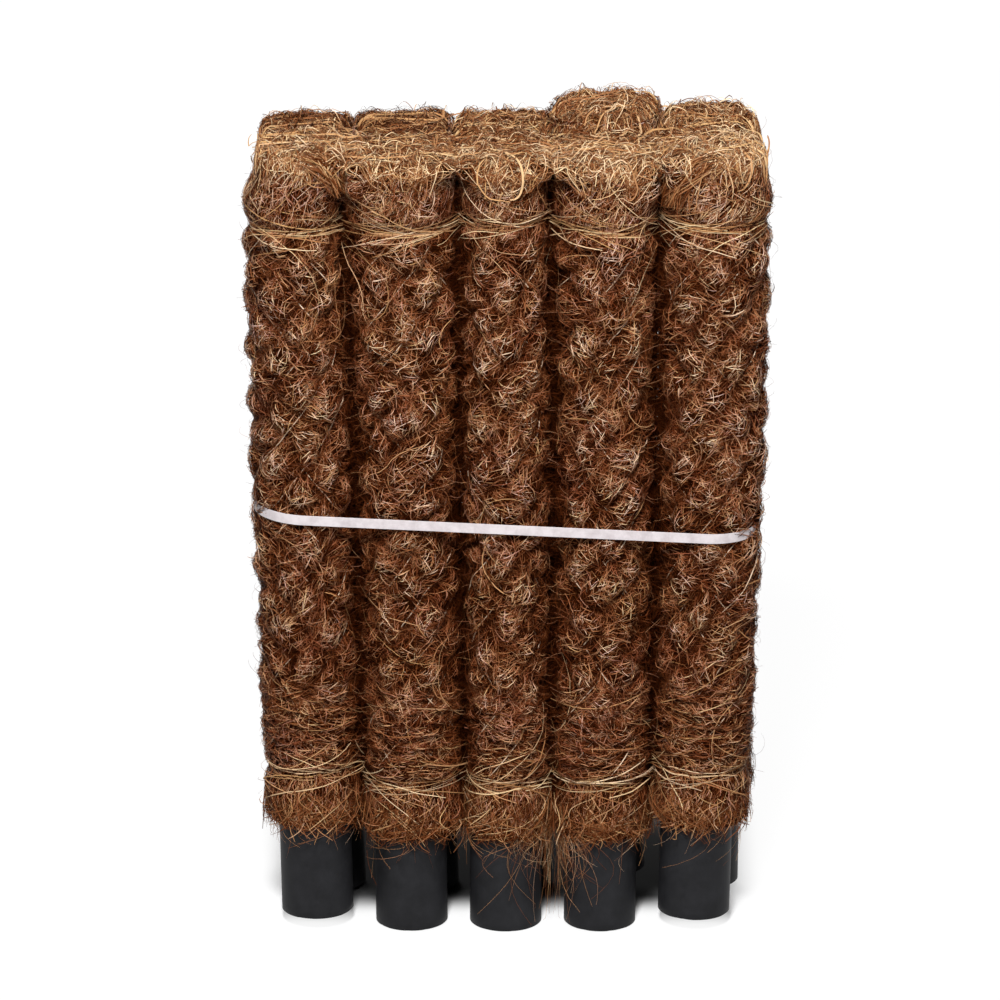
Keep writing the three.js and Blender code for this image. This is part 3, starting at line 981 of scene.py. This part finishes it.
def strap_band(material):
    """Flat strap drawn tight round the outer poles, its ends lapped and welded at the back."""
    low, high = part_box("strap")
    sine = math.sin(STRAP_TILT)
    cosine = math.cos(STRAP_TILT)
    outer_x = -low.x / MM - STRAP_THICKNESS
    radius = envelope(STRAP_HEIGHT) + STRAP_FIT
    half_x = (outer_x - STRAP_WIDTH / 2 * sine) / cosine - radius
    drift = (high.x + low.x) / MM / cosine
    half_y = (high.y - low.y) / 2 / MM - 1.5 * STRAP_THICKNESS - radius
    corner = np.linspace(0, math.pi / 2, 25)
    path = []
    normals = []
    corners = (
        (half_x, -half_y),
        (half_x + drift, half_y),
        (drift - half_x, half_y),
        (-half_x, -half_y),
    )
    for turn, (x, y) in enumerate(corners):
        angle = corner + (turn - 1) * math.pi / 2
        path.append(np.stack([x + radius * np.cos(angle), y + radius * np.sin(angle)], -1))
        normals.append(np.stack([np.cos(angle), np.sin(angle)], -1))
        if turn == 1:
            lap = np.array((STRAP_LAP / 2 + 0.4, STRAP_LAP / 2, -STRAP_LAP / 2, -STRAP_LAP / 2 - 0.4))
            path.append(np.stack([lap, np.full(4, y + radius)], -1))
            normals.append(np.tile((0.0, 1.0), (4, 1)))
    path = np.concatenate(path)
    normals = np.concatenate(normals)
    lapped = (np.abs(path[:, 0]) <= STRAP_LAP / 2 + 0.01) & (path[:, 1] > 0)
    thickness = np.where(lapped, 2 * STRAP_THICKNESS, STRAP_THICKNESS)
    edge = 0.12
    half = STRAP_WIDTH / 2
    section = [
        (0.0, -half + edge), (0.0, half - edge), (edge, half), (-edge, half),
        (0.0, half - edge), (0.0, -half + edge), (-edge, -half), (edge, -half),
    ]
    rows = []
    for number, (inset, height) in enumerate(section):
        outside = 2 < number < 7
        off = (thickness + inset if outside else inset + 0 * thickness)[:, None]
        flat = path + normals * off
        x = flat[:, 0] * cosine + height * sine
        z = STRAP_HEIGHT - flat[:, 0] * sine + height * cosine
        rows.append(np.stack([x, flat[:, 1], z], -1))
    points = (np.stack(rows, axis=1) * MM).reshape(-1, 3)
    band = add_rings("strap_band", points, len(section), material, "strap", "strap", closed=True)
    band.data.set_sharp_from_angle(angle=math.radians(35))


# Materials


class Graph:
    """The nodes of a material or world. An input takes a number, a colour or another node's output."""

    def __init__(self, tree):
        self.nodes = tree.nodes
        self.links = tree.links

    def put(self, node, name, value):
        if isinstance(value, bpy.types.NodeSocket):
            self.links.new(value, node.inputs[name])
        else:
            node.inputs[name].default_value = value

    def add(self, kind, inputs, **settings):
        node = self.nodes.new("ShaderNode" + kind)
        for name, value in settings.items():
            setattr(node, name, value)
        for name, value in inputs.items():
            self.put(node, name, value)
        return node

    def place(self, scale=(1, 1, 1)):
        place = self.add("TexCoord", {}).outputs["Object"]
        return self.add("Mapping", {"Vector": place, "Scale": scale}).outputs["Vector"]

    def noise(self, vector, scale, detail=4.0, roughness=0.6):
        inputs = {"Vector": vector, "Scale": scale, "Detail": detail, "Roughness": roughness}
        return self.add("TexNoise", inputs).outputs["Fac"]

    def compute(self, operation, *values):
        return self.add("Math", dict(enumerate(values)), operation=operation).outputs["Value"]

    def span(self, value, low, high):
        return self.add("MapRange", {"Value": value, "To Min": low, "To Max": high}).outputs["Result"]

    def fade(self, value, start, end, low=0.0, high=1.0):
        """Goes smoothly from low to high as the value goes from start to end."""
        inputs = {"Value": value, "From Min": start, "From Max": end, "To Min": low, "To Max": high}
        return self.add("MapRange", inputs, interpolation_type="SMOOTHSTEP").outputs["Result"]

    def mix(self, factor, first, second):
        inputs = {"Factor": factor, "A": first, "B": second}
        return self.add("Mix", inputs, data_type="RGBA").outputs["Result"]

    def ramp(self, value, stops):
        node = self.add("ValToRGB", {"Fac": value})
        elements = node.color_ramp.elements
        while len(elements) < len(stops):
            elements.new(0.5)
        for element, (place, colour) in zip(elements, stops):
            element.position = place
            element.color = (*colour, 1)
        return node.outputs["Color"]

    def bump(self, shader, height, strength, distance):
        inputs = {"Height": height, "Strength": strength, "Distance": distance}
        self.put(shader, "Normal", self.add("Bump", inputs).outputs["Normal"])


def new_material(name, roughness, specular):
    material = bpy.data.materials.new(name)
    material.use_nodes = True
    graph = Graph(material.node_tree)
    shader = graph.nodes["Principled BSDF"]
    graph.put(shader, "Roughness", roughness)
    graph.put(shader, "Specular IOR Level", specular)
    return material, graph, shader


# Colours by tone or by noise: a place from 0 to 1 and the colour there
# The fibres' own browns; their darkest stops are redder, painted warm light bounced between fibres, and
# their palest greyer, a painted sheen
BROWN = (
    (0.0, (0.022, 0.0045, 0.0007)),
    (0.3, (0.116, 0.0328, 0.0083)),
    (0.55, (0.280, 0.1110, 0.0410)),
    (0.8, (0.525, 0.3050, 0.1250)),
    (1.0, (0.800, 0.6050, 0.3500)),
)
# As in BROWN, the redder dark stops and greyer pale stops are painted bounced light and painted sheen
RUSSET = (
    (0.0, (0.020, 0.0035, 0.0006)),
    (0.3, (0.102, 0.0205, 0.0064)),
    (0.55, (0.242, 0.0695, 0.0325)),
    (0.8, (0.430, 0.2000, 0.1450)),
    (1.0, (0.680, 0.4500, 0.3900)),
)
# Felt colours, near black: painted shade for the shadow between the loose fibres
FELT_PAINTED_SHADE = (
    (0.30, (0.006, 0.0012, 0.0002)),
    (0.50, (0.016, 0.0035, 0.0006)),
    (0.70, (0.045, 0.0120, 0.0026)),
)
BLACK = ((0.3, (0.010, 0.010, 0.011)), (0.7, (0.018, 0.018, 0.020)))
WHITE = ((0.3, (0.45, 0.40, 0.41)), (0.62, (0.59, 0.54, 0.55)))
# Thread colours, pale: a painted highlight for the glints of clear nylon
THREAD_PAINTED_GLINTS = ((0.3, (0.46, 0.30, 0.19)), (0.7, (0.78, 0.59, 0.43)))


def fibre_material():
    """Coir fibre: the UV map gives its tone, from dark to pale, and its hue, from golden to russet."""
    material, graph, shader = new_material("coir_fibre", 0.42, 0.03)
    place = graph.add("UVMap", {}, uv_map="OFBake").outputs["UV"]
    split = graph.add("SeparateXYZ", {"Vector": place})
    tone = split.outputs["X"]
    colour = graph.mix(split.outputs["Y"], graph.ramp(tone, BROWN), graph.ramp(tone, RUSSET))
    graph.put(shader, "Base Color", colour)
    graph.put(shader, "Specular Tint", (1.0, 0.78, 0.55, 1))
    return material


def core_material():
    """Felted coir between the loose fibres: coloured near black as painted shade for the shadow between
    them, with fine tangled streaks.
    """
    material, graph, shader = new_material("coir_felt", 0.9, 0.0)
    coarse = graph.noise(graph.place(), 260.0, 3.0, 0.7)
    streak = graph.noise(graph.place((900, 900, 2600)), 1.0, 5.0, 0.75)
    tangle = graph.compute("MULTIPLY_ADD", streak, 0.6, graph.compute("MULTIPLY", coarse, 0.4))
    graph.put(shader, "Base Color", graph.ramp(tangle, FELT_PAINTED_SHADE))
    graph.bump(shader, tangle, 0.8, 0.0008)
    return material


def pipe_material():
    """Black recycled plastic: drawn lengthwise, faintly mottled, with scuffs."""
    material, graph, shader = new_material("black_pipe", 0.5, 0.1)
    drawn = graph.noise(graph.place((900, 900, 12)), 1.0, 3.0)
    mottle = graph.noise(graph.place(), 90.0, 5.0, 0.65)
    graph.put(shader, "Base Color", graph.ramp(mottle, BLACK))
    graph.put(shader, "Roughness", graph.span(mottle, 0.42, 0.68))
    graph.bump(shader, drawn, 0.25, 0.0002)
    return material


def strap_material():
    """White strap: satin, with fine lengthwise drawing lines and faint handling marks."""
    material, graph, shader = new_material("white_strap", 0.42, 0.25)
    drawn = graph.noise(graph.place((25, 25, 5200)), 1.0, 3.0)
    marks = graph.noise(graph.place(), 160.0, 4.0, 0.7)
    graph.put(shader, "Base Color", graph.ramp(marks, WHITE))
    graph.bump(shader, drawn, 0.2, 0.00015)
    return material


def thread_material():
    """Clear nylon thread drawn opaque and pale, in noisy patches: a painted highlight standing for its
    glints.
    """
    material, graph, shader = new_material("clear_thread", 0.35, 0.05)
    marks = graph.noise(graph.place(), 120.0, 2.0)
    graph.put(shader, "Base Color", graph.ramp(marks, THREAD_PAINTED_GLINTS))
    return material


# Stage


def camera():
    data = bpy.data.cameras.new("camera")
    data.lens = VIEW_LENS
    data.sensor_width = SENSOR_WIDTH
    data.clip_end = 100.0
    view = add_object("camera", data)
    back = Vector((
        -math.sin(VIEW_AZIMUTH) * math.cos(VIEW_ELEVATION),
        -math.cos(VIEW_AZIMUTH) * math.cos(VIEW_ELEVATION),
        math.sin(VIEW_ELEVATION),
    ))
    view.location = VIEW_TARGET + back * VIEW_DISTANCE
    view.rotation_euler = (-back).to_track_quat("-Z", "Y").to_euler()
    bpy.context.scene.camera = view


def direct_rays(graph):
    """1 for what the camera sees directly, in a gloss or through glass, and 0 for bounced light."""
    path = graph.add("LightPath", {})
    seen = graph.compute("MAXIMUM", path.outputs["Is Camera Ray"], path.outputs["Is Glossy Ray"])
    return graph.compute("MAXIMUM", seen, path.outputs["Is Transmission Ray"])


def floor():
    """A pale floor, white where it is open, with a painted shadow under and just behind the pack; it
    keeps the pack's shadow.
    """
    corners = np.array(((-1, -1, 0), (1, -1, 0), (1, 1, 0), (-1, 1, 0)))
    points = FLOOR_HALF * corners
    points[:, 2] = CAD_LOW.z - FLOOR_DROP
    mesh = make_mesh("floor", points, np.array(((0, 1, 2, 3),)))
    plane = add_object("floor", mesh)
    material, graph, shader = new_material("pale_floor", 0.9, 0.0)
    seen = direct_rays(graph)
    place = graph.add("TexCoord", {}).outputs["Object"]
    split = graph.add("SeparateXYZ", {"Vector": place})
    aside = graph.compute("ABSOLUTE", split.outputs["X"])
    depth = split.outputs["Y"]
    # Painted shadow: dark floor colour and no glow under and just behind the pack
    under = graph.fade(aside, *PAINTED_SHADOW_ASIDE, 1.0, 0.0)
    under = graph.compute("MULTIPLY", under, graph.fade(depth, *PAINTED_SHADOW_FRONT))
    under = graph.compute("MULTIPLY", under, graph.fade(depth, *PAINTED_SHADOW_BACK, 1.0, 0.0))
    painted_shadow_colour = graph.mix(under, (0.95, 0.95, 0.95, 1), (0.06, 0.06, 0.06, 1))
    graph.put(shader, "Base Color", graph.mix(seen, (0.45, 0.45, 0.45, 1), painted_shadow_colour))
    open_share = graph.add("AmbientOcclusion", {"Distance": 0.5}).outputs["AO"]
    away = graph.add("VectorMath", {0: place}, operation="LENGTH").outputs["Value"]
    level = graph.fade(open_share, *WHITE_OPEN, 0.0, 0.92)
    for bright in (
        graph.fade(depth, *WHITE_FRONT, 0.9, 0.0),
        graph.fade(aside, *WHITE_ASIDE, 0.0, 0.93),
        graph.fade(away, *WHITE_FAR),
    ):
        level = graph.compute("MAXIMUM", level, bright)
    level = graph.compute("MULTIPLY", level, graph.fade(under, 0.0, 1.0, 1.0, 0.0))
    level = graph.compute("MULTIPLY", level, seen)
    glow = graph.add("Emission", {"Strength": FLOOR_GLOW}).outputs["Emission"]
    mix = graph.add("MixShader", {"Fac": level, 1: shader.outputs["BSDF"], 2: glow})
    graph.put(graph.nodes["Material Output"], "Surface", mix.outputs["Shader"])
    mesh.materials.append(material)


def world():
    sky = bpy.data.worlds.new("studio")
    bpy.context.scene.world = sky
    sky.use_nodes = True
    graph = Graph(sky.node_tree)
    background = graph.nodes["Background"]
    graph.put(background, "Strength", graph.span(direct_rays(graph), WORLD_LIGHT, 1.0))
    graph.put(background, "Color", (1, 1, 1, 1))


def lights():
    for name, place, size, power, gloss in LAMPS:
        data = bpy.data.lights.new(name, "AREA")
        data.shape = "DISK"
        data.size = size
        data.energy = power
        light = add_object(name, data)
        light.location = place
        light.visible_glossy = gloss
        light.rotation_euler = (LAMP_TARGET - Vector(place)).to_track_quat("-Z", "Y").to_euler()


def build():
    fibre = fibre_material()
    core = core_material()
    black = pipe_material()
    clear = thread_material()
    for index, joint in enumerate(frame["record"]["behaviour"]["joints"]):
        pole = Pole(index, joint["child"], joint["axis"])
        pipe(pole, black)
        coir_core(pole, core)
        binding_net(pole, clear)
        coir_fibres(pole, fibre)
    strap_band(strap_material())
    camera()
    floor()
    world()
    lights()
    bpy.context.scene.view_settings.view_transform = "Standard"


build()
